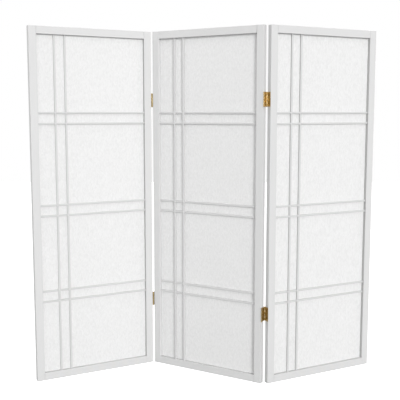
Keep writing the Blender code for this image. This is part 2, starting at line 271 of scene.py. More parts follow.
class NodeBuilder:
    """Adds nodes to a material's or a group's tree and links them."""

    def __init__(self, tree: bpy.types.NodeTree) -> None:
        """Work on one node tree."""
        self.tree = tree

    def fill(self, node: bpy.types.Node, inputs: dict[str | int, object]) -> None:
        """Give inputs of a node what they take.

        Args:
            node: the node.
            inputs: a number, colour, vector or output socket for each input.
        """
        for key, value in inputs.items():
            if isinstance(value, bpy.types.NodeSocket):
                self.tree.links.new(value, node.inputs[key])
            else:
                node.inputs[key].default_value = value

    def add(self, kind: str, settings: dict[str, object] | None = None,
            inputs: dict[str | int, object] | None = None) -> bpy.types.Node:
        """Add a node.

        Args:
            kind: the node's type name.
            settings: the node's own properties.
            inputs: a number, colour, vector or output socket for each input.

        Returns:
            The new node.
        """
        node = self.tree.nodes.new(kind)
        for key, value in (settings or {}).items():
            setattr(node, key, value)
        self.fill(node, inputs or {})
        return node

    def maths(self, operation: str, first: object, second: object) -> bpy.types.NodeSocket:
        """Add a Math node, and return its value."""
        node = self.add("ShaderNodeMath", {"operation": operation}, {0: first, 1: second})
        return node.outputs[0]

    def spread(self, value: object, low: float, high: float, new_low: float = 0.0,
               new_high: float = 1.0) -> bpy.types.NodeSocket:
        """Map a value smoothly from one range to another.

        Args:
            value: the output socket to map.
            low: the value that becomes new_low.
            high: the value that becomes new_high.
            new_low: the lowest result.
            new_high: the highest result.

        Returns:
            The mapped value.
        """
        node = self.add(
            "ShaderNodeMapRange", {"interpolation_type": "SMOOTHSTEP"},
            {"Value": value, "From Min": low, "From Max": high, "To Min": new_low,
             "To Max": new_high})
        return node.outputs[0]

    def noise(self, vector: object, scale: object = 1.0, detail: float = 2.0,
              roughness: float = 0.5, distortion: float = 0.0,
              output: str = "Fac") -> bpy.types.NodeSocket:
        """Add a noise texture.

        Args:
            vector: the coordinates.
            scale: how many grains lie in one unit of them.
            detail: how many finer layers it has.
            roughness: how strong each finer layer is.
            distortion: how far it is warped.
            output: Fac for a value from 0 to 1, or Color for three of them.

        Returns:
            The texture's output.
        """
        node = self.add(
            "ShaderNodeTexNoise", {"noise_dimensions": "3D", "normalize": True},
            {"Vector": vector, "Scale": scale, "Detail": detail, "Roughness": roughness,
             "Distortion": distortion})
        return node.outputs[output]

    def stretched(self, vector: object, scale: Point, turn: Point = (0.0, 0.0, 0.0),
                  place: Point = (0.0, 0.0, 0.0)) -> bpy.types.NodeSocket:
        """Stretch texture coordinates, turn them, move them on and return them."""
        node = self.add(
            "ShaderNodeMapping", {"vector_type": "POINT"},
            {"Vector": vector, "Location": place, "Rotation": turn, "Scale": scale})
        return node.outputs[0]

    def bent(self, vector: object, push: object, reach: Point) -> bpy.types.NodeSocket:
        """Push texture coordinates aside.

        Args:
            vector: the coordinates.
            push: the direction and share of the push at each place.
            reach: the push's length along each axis.

        Returns:
            The bent coordinates.
        """
        node = self.add(
            "ShaderNodeVectorMath", {"operation": "MULTIPLY_ADD"}, {0: push, 1: reach, 2: vector})
        return node.outputs[0]

    def weighted(self, *parts: tuple[object, float]) -> bpy.types.NodeSocket:
        """Add up values.

        Args:
            parts: each value with the share of it that counts.

        Returns:
            The sum.
        """
        total, *others = [self.maths("MULTIPLY", value, share) for value, share in parts]
        for other in others:
            total = self.maths("ADD", total, other)
        return total

    def blend(self, factor: object, first: object, second: object) -> bpy.types.NodeSocket:
        """Mix two colours.

        Args:
            factor: the share of the second colour.
            first: the first colour.
            second: the second colour.

        Returns:
            The mixed colour.
        """
        node = self.add("ShaderNodeMix", {"data_type": "RGBA", "blend_type": "MIX"},
                        {0: factor, 6: first, 7: second})
        return node.outputs[2]

    def bump(self, height: object, distance: float, strength: float,
             normal: object | None = None) -> bpy.types.NodeSocket:
        """Turn a height into a normal.

        Args:
            height: the height, from 0 to 1.
            distance: the relief in metres.
            strength: the share of it that is used.
            normal: an earlier bump's normal to add to.

        Returns:
            The normal.
        """
        inputs = {"Height": height, "Distance": distance, "Strength": strength}
        if normal is not None:
            inputs["Normal"] = normal
        return self.add("ShaderNodeBump", None, inputs).outputs[0]


class Effects:
    """Makes each shared shader node group once, when a finish first asks for it."""

    def __init__(self) -> None:
        """Start with no groups made."""
        self._makers: dict[Effect, Callable[[], bpy.types.NodeTree]] = {
            Effect.WOOD_GRAIN: self._wood_grain, Effect.PAINT_FILM: self._paint_film,
            Effect.PAPER_FIBRES: self._paper_fibres, Effect.DRAWN_METAL: self._drawn_metal}
        self._made: dict[Effect, bpy.types.NodeTree] = {}

    def place(self, nodes: NodeBuilder, effect: Effect,
              inputs: dict[str, object]) -> bpy.types.Node:
        """Place a group in a material.

        Args:
            nodes: the builder of the material's tree.
            effect: the group.
            inputs: values or sockets for the group's inputs.

        Returns:
            The group node.
        """
        if effect not in self._made:
            self._made[effect] = self._makers[effect]()
        return nodes.add("ShaderNodeGroup", {"node_tree": self._made[effect]}, inputs)

    @staticmethod
    def _start(effect: Effect, inputs: dict[str, float], outputs: tuple[str, ...]) -> tuple[
            NodeBuilder, bpy.types.Node, bpy.types.Node]:
        """Make an empty group with number sockets.

        Args:
            effect: the group, which gives its name.
            inputs: each input's name and usual value.
            outputs: the outputs' names.

        Returns:
            The builder, the input node and the output node.
        """
        tree = bpy.data.node_groups.new(effect.value, "ShaderNodeTree")
        for key, value in inputs.items():
            socket = tree.interface.new_socket(key, in_out="INPUT", socket_type="NodeSocketFloat")
            socket.default_value = value
        for key in outputs:
            tree.interface.new_socket(key, in_out="OUTPUT", socket_type="NodeSocketFloat")
        nodes = NodeBuilder(tree)
        return nodes, nodes.add("NodeGroupInput"), nodes.add("NodeGroupOutput")

    @staticmethod
    def _own_place(nodes: NodeBuilder, given: bpy.types.Node) -> bpy.types.NodeSocket:
        """Give the piece's own coordinates, moved on by its own shift so that no two look alike.

        Args:
            nodes: the builder of the group's tree.
            given: the group's input node.

        Returns:
            The coordinates.
        """
        place = nodes.add("ShaderNodeTexCoord").outputs["Object"]
        shift = given.outputs["Shift"]
        push = nodes.add("ShaderNodeCombineXYZ", None, {"X": shift, "Y": shift, "Z": shift})
        return nodes.add("ShaderNodeVectorMath", {"operation": "ADD"},
                         {0: place, 1: push.outputs[0]}).outputs[0]

    def _wood_grain(self) -> bpy.types.NodeTree:
        """Make the grain that shows faintly through paint. It runs along the piece's x axis.

        Returns:
            The group.
        """
        drift_scale, line_scale, pore_scale = (
            (2.2, 14.0, 14.0), (0.012, 1.0, 1.0), (60.0, 2400.0, 2400.0))
        bend_reach, line_share, pore_share = (0.02, 0.02, 0.02), 0.8, 0.2
        nodes, given, result = self._start(
            Effect.WOOD_GRAIN, {"Shift": 0.0, "Line Scale": 260.0, "Waviness": 0.6},
            ("Tone", "Height"))
        place = self._own_place(nodes, given)
        drift = nodes.noise(nodes.stretched(place, drift_scale))
        bend = nodes.maths("MULTIPLY", nodes.maths("SUBTRACT", drift, 0.5),
                           given.outputs["Waviness"])
        push = nodes.add("ShaderNodeCombineXYZ", None, {"Y": bend, "Z": bend}).outputs[0]
        bent = nodes.bent(place, push, bend_reach)
        lines = nodes.noise(nodes.stretched(bent, line_scale), given.outputs["Line Scale"],
                            detail=3.0, roughness=0.55)
        pores = nodes.noise(nodes.stretched(bent, pore_scale))
        nodes.fill(result, {
            "Tone": nodes.spread(lines, 0.3, 0.7),
            "Height": nodes.weighted((lines, line_share), (pores, pore_share))})
        return nodes.tree

    def _paint_film(self) -> bpy.types.NodeTree:
        """Make the skin of sprayed and brushed paint: orange peel, brush lines and soft drift.

        Returns:
            The group.
        """
        brush_scale, drift_scale, patch_scale = (9.0, 900.0, 900.0), 7.0, 38.0
        nodes, given, result = self._start(
            Effect.PAINT_FILM, {"Shift": 0.0, "Peel Scale": 700.0, "Brush": 0.4},
            ("Peel", "Drift", "Gloss"))
        place = self._own_place(nodes, given)
        peel = nodes.noise(place, given.outputs["Peel Scale"], detail=1.5)
        brush = nodes.noise(nodes.stretched(place, brush_scale))
        streak = nodes.maths("MULTIPLY", brush, given.outputs["Brush"])
        drift = nodes.noise(place, drift_scale, detail=3.0, roughness=0.55)
        patch = nodes.noise(place, patch_scale)
        nodes.fill(result, {
            "Peel": nodes.maths("ADD", peel, streak), "Drift": nodes.spread(drift, 0.3, 0.7),
            "Gloss": nodes.spread(patch, 0.32, 0.68)})
        return nodes.tree

    def _paper_fibres(self) -> bpy.types.NodeTree:
        """Make the mottle of fibrous paper: pressed strands, clouds of pulp and fine tooth.

        Returns:
            The group.
        """
        bend_scale, bend_reach, tooth_scale = 55.0, (0.012, 0.0, 0.012), 2600.0
        pulp_scale = (130.0, 1.0, 76.0)
        layers = ((-0.20, 330.0, 75.0), (0.34, 300.0, 95.0), (1.25, 260.0, 110.0))
        faint_layer, strand_share, pulp_share, tooth_share = 0.7, 0.6, 0.3, 0.1
        nodes, given, result = self._start(
            Effect.PAPER_FIBRES, {"Shift": 0.0, "Strand Scale": 1.0, "Cloud Scale": 1.0},
            ("Tone", "Cloud", "Height"))
        place = self._own_place(nodes, given)
        bent = nodes.bent(place, nodes.noise(place, bend_scale, output="Color"), bend_reach)
        strands = []
        for turn, across, along in layers:
            laid = nodes.stretched(bent, (across, 1.0, along), (0.0, turn, 0.0), (turn, 0.0, turn))
            cell = nodes.noise(laid, given.outputs["Strand Scale"], detail=1.0)
            strands.append(nodes.spread(cell, 0.54, 0.74))
        strand = nodes.maths("MAXIMUM", nodes.maths("MAXIMUM", strands[0], strands[1]),
                             nodes.maths("MULTIPLY", strands[2], faint_layer))
        pulp = nodes.noise(nodes.stretched(bent, pulp_scale), given.outputs["Cloud Scale"],
                           detail=4.0, roughness=0.6)
        tooth = nodes.noise(place, tooth_scale)
        nodes.fill(result, {
            "Tone": strand, "Cloud": nodes.spread(pulp, 0.25, 0.75),
            "Height": nodes.weighted((strand, strand_share), (pulp, pulp_share),
                                     (tooth, tooth_share))})
        return nodes.tree

    def _drawn_metal(self) -> bpy.types.NodeTree:
        """Make drawn and handled metal: lines along the rolling, smudges and dull tarnish.

        Returns:
            The group.
        """
        line_scale, smudge_scale, tarnish_scale = (5200.0, 5200.0, 90.0), 180.0, 420.0
        nodes, given, result = self._start(
            Effect.DRAWN_METAL, {"Shift": 0.0, "Line Scale": 1.0}, ("Lines", "Smudge", "Tarnish"))
        place = self._own_place(nodes, given)
        lines = nodes.noise(nodes.stretched(place, line_scale), given.outputs["Line Scale"])
        smudge = nodes.noise(place, smudge_scale, detail=3.0, roughness=0.6)
        tarnish = nodes.noise(place, tarnish_scale, detail=4.0, roughness=0.65, distortion=0.4)
        nodes.fill(result, {
            "Lines": lines, "Smudge": nodes.spread(smudge, 0.35, 0.7),
            "Tarnish": nodes.spread(tarnish, 0.48, 0.72)})
        return nodes.tree


def opaque(colour: Colour) -> tuple[float, float, float, float]:
    """Add full opacity to a colour."""
    return (*colour, 1.0)


def start_material(name: str) -> tuple[bpy.types.Material, NodeBuilder, bpy.types.Node]:
    """Make a material with its Principled shader.

    Args:
        name: the material's name.

    Returns:
        The material, a builder for its tree, and the shader.
    """
    material = bpy.data.materials.new(name)
    material.use_nodes = True
    nodes = NodeBuilder(material.node_tree)
    return material, nodes, material.node_tree.nodes["Principled BSDF"]


def own_number(nodes: NodeBuilder, name: str) -> bpy.types.NodeSocket:
    """Read one of the numbers that each piece's mesh carries."""
    node = nodes.add("ShaderNodeAttribute", {"attribute_type": "GEOMETRY", "attribute_name": name})
    return node.outputs["Fac"]


@dataclass(frozen=True)
class PaintFinish:
    """White paint on a planed wooden piece, with painted shade and a painted edge highlight."""

    slot: Slot
    colour: Colour
    shade: Colour
    # A painted highlight: the eased edges are lightened towards this colour.
    edge_highlight_colour: Colour
    # The colour of the painted shade on the inner sides that look away from the light.
    side_shade_colour: Colour
    roughness: float = 0.58
    smoother: float = 0.05
    rougher: float = 0.06
    edge_polish: float = 0.08
    specular: float = 0.24
    grain_lines: float = 260.0
    grain_waviness: float = 0.6
    peel_scale: float = 700.0
    brush_share: float = 0.4
    drift_share: float = 0.6
    grain_share: float = 0.35
    wear_and_highlight_range: tuple[float, float] = (0.2, 0.9)
    least_wear_and_highlight: float = 0.35
    least_side_shade: float = 0.85
    grain_relief: float = 0.00005
    grain_strength: float = 0.6
    peel_relief: float = 0.00001
    peel_strength: float = 0.7

    @property
    def name(self) -> str:
        """The material's name."""
        return f"{self.slot.value}_dressed"

    def material(self, effects: Effects) -> bpy.types.Material:
        """Make the material.

        Args:
            effects: the shared node groups.

        Returns:
            The material.
        """
        material, nodes, shader = start_material(self.name)
        shift = own_number(nodes, "own_shift")
        edge = own_number(nodes, "eased_edge")
        shade_side = own_number(nodes, "painted_side_shade")
        grain = effects.place(nodes, Effect.WOOD_GRAIN, {
            "Shift": shift, "Line Scale": self.grain_lines, "Waviness": self.grain_waviness})
        film = effects.place(nodes, Effect.PAINT_FILM, {
            "Shift": shift, "Peel Scale": self.peel_scale, "Brush": self.brush_share})
        drift, gloss = film.outputs["Drift"], film.outputs["Gloss"]
        drifted = nodes.blend(nodes.maths("MULTIPLY", drift, self.drift_share),
                              opaque(self.colour), opaque(self.shade))
        grained = nodes.blend(nodes.maths("MULTIPLY", grain.outputs["Tone"], self.grain_share),
                              drifted, opaque(self.shade))
        # Painted shade: the marked inner sides of a frame are darkened towards their shade colour,
        # standing for the shade in the rebate.
        side_shade_mask = nodes.maths("MULTIPLY", shade_side,
                           nodes.spread(drift, 0.0, 1.0, self.least_side_shade, 1.0))
        side_shaded = nodes.blend(side_shade_mask, grained, opaque(self.side_shade_colour))
        # Painted highlight on the eased edges, lighter in colour; their wear also polishes them
        # smoother.
        wear_and_highlight = nodes.maths("MULTIPLY", edge,
                           nodes.spread(gloss, *self.wear_and_highlight_range, self.least_wear_and_highlight, 1.0))
        roughness = nodes.spread(gloss, 0.0, 1.0, self.roughness - self.smoother,
                                 self.roughness + self.rougher)
        relief = nodes.bump(grain.outputs["Height"], self.grain_relief, self.grain_strength)
        nodes.fill(shader, {
            "Base Color": nodes.blend(wear_and_highlight, side_shaded, opaque(self.edge_highlight_colour)),
            "Roughness": nodes.maths("SUBTRACT", roughness,
                                     nodes.maths("MULTIPLY", wear_and_highlight, self.edge_polish)),
            "Normal": nodes.bump(film.outputs["Peel"], self.peel_relief, self.peel_strength,
                                 relief),
            "Specular IOR Level": self.specular})
        return material


@dataclass(frozen=True)
class PaperFinish:
    """Fibrous paper that lets some light through."""

    slot: Slot = Slot.PAPER
    name: str = "paper_dressed"
    colour: Colour = (0.824, 0.824, 0.822)
    thick_colour: Colour = (0.760, 0.760, 0.758)
    strand_colour: Colour = (0.851, 0.851, 0.851)
    glow_colour: Colour = (0.92, 0.92, 0.91)
    glow: float = 0.08
    roughness: float = 0.86
    specular: float = 0.2
    strand_scale: float = 1.0
    cloud_scale: float = 1.0
    relief: float = 0.00016
    relief_strength: float = 0.5

    def material(self, effects: Effects) -> bpy.types.Material:
        """Make the material.

        Args:
            effects: the shared node groups.

        Returns:
            The material.
        """
        material, nodes, shader = start_material(self.name)
        fibres = effects.place(nodes, Effect.PAPER_FIBRES, {
            "Shift": own_number(nodes, "own_shift"), "Strand Scale": self.strand_scale,
            "Cloud Scale": self.cloud_scale})
        pulp = nodes.blend(fibres.outputs["Cloud"], opaque(self.thick_colour), opaque(self.colour))
        nodes.fill(shader, {
            "Base Color": nodes.blend(fibres.outputs["Tone"], pulp, opaque(self.strand_colour)),
            "Normal": nodes.bump(fibres.outputs["Height"], self.relief, self.relief_strength),
            "Roughness": self.roughness, "Specular IOR Level": self.specular})
        through = nodes.add("ShaderNodeBsdfTranslucent", None, {"Color": opaque(self.glow_colour)})
        both = nodes.add("ShaderNodeMixShader", None,
                         {0: self.glow, 1: shader.outputs[0], 2: through.outputs[0]})
        nodes.fill(nodes.tree.nodes["Material Output"], {"Surface": both.outputs[0]})
        return material


@dataclass(frozen=True)
class MetalFinish:
    """Brass, drawn or turned, a little handled."""

    slot: Slot
    name: str
    colour: Colour
    tarnish_colour: Colour
    roughness: float = 0.3
    smoother: float = 0.06
    rougher: float = 0.10
    tarnish_share: float = 0.7
    tarnish_roughness: float = 0.12
    line_scale: float = 1.0
    relief: float = 0.000012
    relief_strength: float = 0.5

    def material(self, effects: Effects) -> bpy.types.Material:
        """Make the material.

        Args:
            effects: the shared node groups.

        Returns:
            The material.
        """
        material, nodes, shader = start_material(self.name)
        metal = effects.place(nodes, Effect.DRAWN_METAL, {
            "Shift": own_number(nodes, "own_shift"), "Line Scale": self.line_scale})
        dull = nodes.maths("MULTIPLY", metal.outputs["Tarnish"], self.tarnish_share)
        smudged = nodes.spread(metal.outputs["Smudge"], 0.0, 1.0, self.roughness - self.smoother,
                               self.roughness + self.rougher)
        nodes.fill(shader, {
            "Base Color": nodes.blend(dull, opaque(self.colour), opaque(self.tarnish_colour)),
            "Roughness": nodes.maths("ADD", smudged,
                                     nodes.maths("MULTIPLY", dull, self.tarnish_roughness)),
            "Normal": nodes.bump(metal.outputs["Lines"], self.relief, self.relief_strength),
            "Metallic": 1.0})
        return material


FRAME_PAINT = PaintFinish(
    Slot.FRAME_PAINT, colour=(0.660, 0.660, 0.659), shade=(0.649, 0.649, 0.648),
    edge_highlight_colour=(0.684, 0.684, 0.684), side_shade_colour=(0.49, 0.49, 0.488))
# The lattice's paint is a slightly darker copy of the frame's, as painted shade that makes the bars
# show darker against the paper.
LATTICE_PAINT = PaintFinish(
    Slot.LATTICE_PAINT, colour=(0.636, 0.636, 0.635), shade=(0.625, 0.625, 0.624),
    edge_highlight_colour=(0.662, 0.662, 0.662), side_shade_colour=(0.49, 0.49, 0.488))
PAPER = PaperFinish()
BRASS = MetalFinish(
    Slot.BRASS, "brass_dressed", colour=(0.60, 0.46, 0.228), tarnish_colour=(0.38, 0.282, 0.12))
PIN_BRASS = MetalFinish(
    Slot.PIN_BRASS, "pin_brass_dressed", colour=(0.575, 0.436, 0.214),
    tarnish_colour=(0.353, 0.255, 0.102), roughness=0.34)
# The screws' brass is a much darker copy of the leaves' brass: painted shade for the shade in their
# recessed heads.
SHADED_SCREW_BRASS = MetalFinish(
    Slot.PIN_BRASS, "screw_brass_painted_shade", colour=(0.23, 0.15, 0.06),
    tarnish_colour=(0.14, 0.09, 0.035), roughness=0.38)

Finish = PaintFinish | PaperFinish | MetalFinish


@dataclass(frozen=True)
class ShadedSide:
    """One side of a frame's member that is painted darker, as painted shade in the frame's rebate.

    The side lies across the axis, at that distance from the member's outer side.
    """

    axis: int
    distance: float
    shade_strength: float


class Workshop:
    """Turns shapes into dressed pieces that ride on the frame's bodies."""

    def __init__(self) -> None:
        """Start with no materials and no pieces."""
        self._effects = Effects()
        self._materials: dict[str, bpy.types.Material] = {}
        self._count = 0

    def _material(self, finish: Finish) -> bpy.types.Material:
        """Make a finish's material, if it isn't made yet.

        Args:
            finish: the finish.

        Returns:
            The material.
        """
        if finish.name not in self._materials:
            self._materials[finish.name] = finish.material(self._effects)
        return self._materials[finish.name]

    def make(self, shape: Shape, whole: str, part: str, finish: Finish, place: Matrix, body: str,
             has_node: bool = True, grain: Matrix | None = None, eased: float = 0.0,
             shade_side: ShadedSide | None = None) -> None:
        """Make a dressed piece.

        Args:
            shape: the finished shape. It is used up.
            whole: the sub-assembly's name.
            part: the piece's name in the sub-assembly.
            finish: what the piece is finished with.
            place: where the shape's own axes stand at rest.
            body: the body that the piece rides on.
            has_node: whether the piece stands for a CAD node.
            grain: axes for the mesh, with x along the grain, where they differ from the shape's.
            eased: how far the edges' rounding reaches, to mark the eased edges.
            shade_side: the side that gets painted shade, if there is one.
        """
        self._count += 1
        shift = (self._count * SHIFT_STEP) % 1.0 * SHIFT_SPAN
        numbers = {"eased_edge": self._eased_edges(shape.mesh, eased),
                   "painted_side_shade": self._painted_side_shade(shape.mesh, shade_side),
                   "own_shift": [shift] * len(shape.mesh.verts)}
        turn = grain or Matrix.Identity(4)
        bmesh.ops.transform(shape.mesh, matrix=turn.inverted(), verts=shape.mesh.verts)
        name = f"{whole}.{part}"
        mesh = shape.to_mesh(name)
        for key, values in numbers.items():
            mesh.attributes.new(key, "FLOAT", "POINT").data.foreach_set("value", values)
        mesh.materials.append(self._material(finish))
        mesh.polygons.foreach_set("use_smooth", [True] * len(mesh.polygons))
        mesh.set_sharp_from_angle(angle=SHARP_ANGLE)
        piece = add_object(name, mesh)
        piece.matrix_world = place @ turn
        weighted = piece.modifiers.new("flat_faces_stay_flat", "WEIGHTED_NORMAL")
        weighted.mode = "FACE_AREA"
        weighted.keep_sharp = True
        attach(piece, body)
        if has_node:
            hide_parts(f"{whole}_{part}")
        LOG.info("%s rides on %s, %d faces", name, body, len(mesh.polygons))

    @staticmethod
    def _eased_edges(mesh: bmesh.types.BMesh, eased: float) -> list[float]:
        """Mark the points that lie on the rounding of the outer edges.

        Args:
            mesh: the shape's mesh.
            eased: how far the rounding reaches from an edge.

        Returns:
            For each point 1 on the rounding, and 0 elsewhere.
        """
        if not eased:
            return [0.0] * len(mesh.verts)
        low = [min(vert.co[axis] for vert in mesh.verts) for axis in range(3)]
        high = [max(vert.co[axis] for vert in mesh.verts) for axis in range(3)]
        values = []
        for vert in mesh.verts:
            inside = 0
            for axis in range(3):
                depth = min(vert.co[axis] - low[axis], high[axis] - vert.co[axis])
                inside += TOUCH_DISTANCE < depth < EASED_SHARE * eased
            values.append(1.0 if inside >= 2 else 0.0)
        return values

    @staticmethod
    def _painted_side_shade(mesh: bmesh.types.BMesh, shade_side: ShadedSide | None) -> list[float]:
        """Mark the points on the side that gets painted shade.

        Args:
            mesh: the shape's mesh, with its outer side at zero.
            shade_side: the side, if there is one.

        Returns:
            For each point the painted shade's strength on that side, and 0 elsewhere.
        """
        if shade_side is None:
            return [0.0] * len(mesh.verts)
        return [shade_side.shade_strength * (abs(abs(vert.co[shade_side.axis]) - shade_side.distance) < TOUCH_DISTANCE)
                for vert in mesh.verts]


@dataclass(frozen=True)
class Stock:
    """Sizes that the panels and the hinges share."""

    fit_gap: float = 0.0003
    thickness: float = 0.01905
    panel_width: float = 0.4317
    panel_height: float = 1.194
    panel_gap: float = 0.0044
    pin_standoff: float = 0.0015
    screw_offset: float = 0.0136
    screw_radius: float = 0.0011
    screw_length: float = 0.011
    lower_hinge_height: float = 0.2395
    upper_hinge_drop: float = 0.2375

    @property
    def half_gap(self) -> float:
        """Half the gap between two panels laid flat."""
        return self.panel_gap / 2

    @property
    def pin_span(self) -> float:
        """The distance between a hinge's two pins."""
        return self.thickness + 2 * self.pin_standoff

    def hinge_heights(self) -> dict[Level, float]:
        """Give the height of each hinge's middle."""
        return {Level.LOWER: self.lower_hinge_height,
                Level.UPPER: self.panel_height - self.upper_hinge_drop}

    def screw_heights(self) -> list[float]:
        """Give the heights of the four screws in one stile."""
        return [middle + rise for middle in self.hinge_heights().values()
                for rise in (-self.screw_offset, self.screw_offset)]


@dataclass
class Panel:
    """One panel: two stiles, two rails, the lattice and the paper."""

    name: str
    place: Matrix
    hinged: tuple[FoldSide, ...]
    stock: Stock = field(default_factory=Stock)
    stile_width: float = 0.0258
    rail_height: float = 0.0254
    edge_round: float = 0.0010
    edge_steps: int = 4
    tenon_length: float = 0.012
    tenon_thickness: float = 0.006
    tenon_front: float = 0.0035
    tenon_shoulder: float = 0.005
    pilot_sides: int = 20
    groove_front: float = 0.012
    groove_depth: float = 0.0055
    paper_thickness: float = 0.0005
    paper_lap: float = 0.0045
    paper_columns: int = 36
    paper_rows: int = 96
    paper_cockle: float = 0.00015
    cockle_waves: tuple[tuple[float, float], ...] = ((9.0, 4.0), (-3.0, 17.0))
    side_freedom: float = 14.0
    end_freedom: float = 30.0
    bar_width: float = 0.006
    bar_depth: float = 0.0065
    bar_tenon: float = 0.005
    bar_round: float = 0.0005
    bar_steps: int = 3
    bar_spacing: float = 0.036
    upright_centre: float = 0.1045
    lower_bars: float = 0.290
    middle_bars_drop: float = 0.0125
    upper_bars_drop: float = 0.299
    joint_opening: float = 0.0005
    # How strong the painted shade is: the far share on the right stile's inner side and the top
    # rail's underside, the near share on the bottom rail's top.
    far_side_shade: float = 1.0
    near_side_shade: float = 0.45

    @property
    def paper_front(self) -> float:
        """The depth of the paper's front face."""
        return self.groove_front + self.stock.fit_gap

    @property
    def groove_back(self) -> float:
        """The depth of the groove's back side."""
        return self.paper_front + self.paper_thickness + self.stock.fit_gap

    @property
    def bar_back(self) -> float:
        """The depth of the lattice's back."""
        return self.paper_front - self.stock.fit_gap

    @property
    def bar_front(self) -> float:
        """The depth of the lattice's front."""
        return self.bar_back - self.bar_depth

    @property
    def bar_clear(self) -> float:
        """Half the width of the notch or mortise for a bar."""
        return self.bar_width / 2 + self.stock.fit_gap

    @property
    def lap_depth(self) -> float:
        """The depth at which two crossing bars meet."""
        return (self.bar_front + self.bar_back) / 2

    def _pair(self, centre: float) -> tuple[float, float]:
        """Give the centre lines of a pair of bars."""
        return centre - self.bar_spacing / 2, centre + self.bar_spacing / 2

    def crossbar_heights(self) -> list[float]:
        """Give the heights of the crossbars' middles.

        Returns:
            The heights, from the floor up.
        """
        height = self.stock.panel_height
        pairs = (self.lower_bars, height / 2 - self.middle_bars_drop, height - self.upper_bars_drop)
        return [place for pair in pairs for place in self._pair(pair)]

    def stile(self, hinged: bool) -> Shape:
        """Make a left stile, with its outer face at x = 0.

        Args:
            hinged: whether hinge screws go into it.

        Returns:
            The shape.
        """
        stock, gap, height = self.stock, self.stock.fit_gap, self.stock.panel_height
        inside = self.stile_width + CUT_OVERRUN
        shape = Shape().add_box((0.0, 0.0, 0.0), (self.stile_width, stock.thickness, height))
        shape.ease(self.edge_round, self.edge_steps)
        foot = self.rail_height - self.groove_depth
        shape.cut(Shape().add_box(
            (self.stile_width - self.groove_depth, self.groove_front, foot),
            (inside, self.groove_back, height - foot)))
        cuts = Shape()
        start = self.stile_width - self.bar_tenon - gap
        for middle in self.crossbar_heights():
            cuts.add_box((start, self.bar_front - gap, middle - self.bar_clear),
                         (inside, self.paper_front, middle + self.bar_clear))
        low = self.tenon_shoulder - gap
        high = self.rail_height - self.tenon_shoulder + gap
        end = self.stile_width - self.tenon_length - gap
        for bottom, top in ((low, high), (height - high, height - low)):
            cuts.add_box((end, self.tenon_front - gap, bottom),
                         (inside, self.tenon_front + self.tenon_thickness + gap, top))
        if hinged:
            middle = stock.thickness / 2
            for place in stock.screw_heights():
                cuts.add_rod((stock.screw_length + gap, middle, place),
                             (-CUT_OVERRUN, middle, place), stock.screw_radius + gap,
                             self.pilot_sides)
        return shape.cut(cuts)

    def rail(self, opening: float = 0.0) -> Shape:
        """Make a bottom rail, with its left shoulder at x = 0 and its tenons on both ends.

        Args:
            opening: how far its right shoulder has drawn back from the stile.

        Returns:
            The shape.
        """
        gap, height = self.stock.fit_gap, self.rail_height
        length = self.stock.panel_width - 2 * (self.stile_width + gap) - opening
        reach, inside = self.tenon_length - gap, height + CUT_OVERRUN
        shape = Shape().add_box((0.0, 0.0, 0.0), (length, self.stock.thickness, height))
        shape.ease(self.edge_round, self.edge_steps, (0,))
        shape.join(Shape().add_box(
            (-reach, self.tenon_front, self.tenon_shoulder),
            (length + reach, self.tenon_front + self.tenon_thickness,
             height - self.tenon_shoulder)))
        shape.cut(Shape().add_box(
            (-CUT_OVERRUN, self.groove_front, height - self.groove_depth),
            (length + CUT_OVERRUN, self.groove_back, inside)))
        cuts = Shape()
        foot = height - self.bar_tenon - gap
        for centre in self._pair(self.upright_centre):
            place = centre - self.stile_width - gap
            cuts.add_box((place - self.bar_clear, self.bar_front - gap, foot),
                         (place + self.bar_clear, self.paper_front, inside))
        return shape.cut(cuts)

    def upright(self) -> Shape:
        """Make a lattice upright, standing at z = 0 and notched behind for the crossbars.

        Returns:
            The shape.
        """
        half, start = self.bar_width / 2, self.rail_height - self.bar_tenon
        length, side = self.stock.panel_height - 2 * start, half + CUT_OVERRUN
        shape = Shape().add_box((-half, self.bar_front, 0.0), (half, self.bar_back, length))
        shape.ease(self.bar_round, self.bar_steps)
        notches = Shape()
        for height in self.crossbar_heights():
            place = height - start
            notches.add_box(
                (-side, self.lap_depth - self.stock.fit_gap / 2, place - self.bar_clear),
                (side, self.bar_back + CUT_OVERRUN, place + self.bar_clear))
        return shape.cut(notches)

    def crossbar(self) -> Shape:
        """Make a lattice crossbar, starting at x = 0 and notched in front for the uprights.

        Returns:
            The shape.
        """
        half, start = self.bar_width / 2, self.stile_width - self.bar_tenon
        length, side = self.stock.panel_width - 2 * start, half + CUT_OVERRUN
        shape = Shape().add_box((0.0, self.bar_front, -half), (length, self.bar_back, half))
        shape.ease(self.bar_round, self.bar_steps)
        notches = Shape()
        for centre in self._pair(self.upright_centre):
            place = centre - start
            notches.add_box(
                (place - self.bar_clear, self.bar_front - CUT_OVERRUN, -side),
                (place + self.bar_clear, self.lap_depth + self.stock.fit_gap / 2, side))
        return shape.cut(notches)

    def _paper_face(self, shape: Shape, depth: float) -> list[list[bmesh.types.BMVert]]:
        """Add the points of one face of the paper, flat at its rim and cockled inside it.

        Args:
            shape: the sheet that is being made.
            depth: the depth of the face's rim.

        Returns:
            The points, in rows from the floor up.
        """
        side, foot = self.stile_width - self.paper_lap, self.rail_height - self.paper_lap
        width = self.stock.panel_width - 2 * side
        height = self.stock.panel_height - 2 * foot
        rows = []
        for row in range(self.paper_rows + 1):
            line, up = [], row / self.paper_rows
            for column in range(self.paper_columns + 1):
                across = column / self.paper_columns
                free = (min(1.0, self.side_freedom * across * (1 - across))
                        * min(1.0, self.end_freedom * up * (1 - up)))
                first, second = (sin(wide * across + tall * up) for wide, tall in self.cockle_waves)
                swell = (first * second + 1.0) / 2
                line.append(shape.mesh.verts.new((
                    side + across * width, depth + self.paper_cockle * free * swell,
                    foot + up * height)))
            rows.append(line)
        return rows

